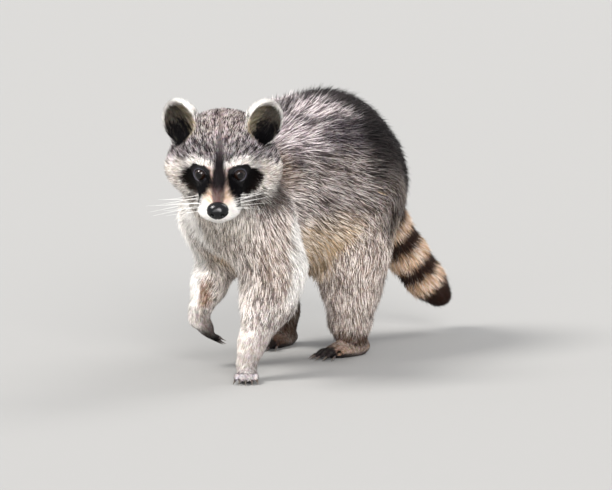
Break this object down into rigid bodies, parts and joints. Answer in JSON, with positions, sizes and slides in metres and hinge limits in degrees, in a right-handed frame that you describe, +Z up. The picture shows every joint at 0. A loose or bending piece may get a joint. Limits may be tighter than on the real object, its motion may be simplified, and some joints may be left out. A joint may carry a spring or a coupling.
{
  "type": "raccoon model",
  "caption": "Still, life-size raccoon that walks with one forepaw lifted and its face turned to the side, with a thick coat, mask and ringed tail.",
  "frame": {"origin": "on the floor, under the middle of the whole animal's outline", "axes": "+X the way the animal walks, +Y its left side, +Z up"},
  "size_m": [0.5902, 0.2092, 0.3159],
  "materials": {
    "coat": "grizzled grey-brown guard hair",
    "pale_coat": "cream-grey fur",
    "face": "short grizzled fur with a black mask and white bands",
    "ear": "short fur, white at the rim",
    "ring_dark": "dark brown fur",
    "ring_pale": "tan fur",
    "paw": "dark skin with very short fur",
    "nose": "moist black skin",
    "eye": "glossy, near black"
  },
  "bodies": {
    "root": {"trunk": "coat", "neck": "coat", "tail_base": "coat", "tail_upper": "ring_pale", "tail_middle": "ring_dark", "tail_lower": "ring_pale", "tail_tip": "ring_dark", "fore_left_upper_arm": "coat", "fore_left_forearm": "pale_coat", "fore_left_paw": "paw", "fore_right_upper_arm": "coat", "fore_right_forearm": "pale_coat", "fore_right_paw": "paw", "hind_left_thigh": "coat", "hind_left_shank": "pale_coat", "hind_left_foot": "paw", "hind_right_thigh": "coat", "hind_right_shank": "pale_coat", "hind_right_foot": "paw", "eye_left": "eye", "eye_right": "eye", "ear_left": "ear", "ear_right": "ear", "nose": "nose", "head": "face", "lower_jaw": "face"}
  },
  "joints": []
}
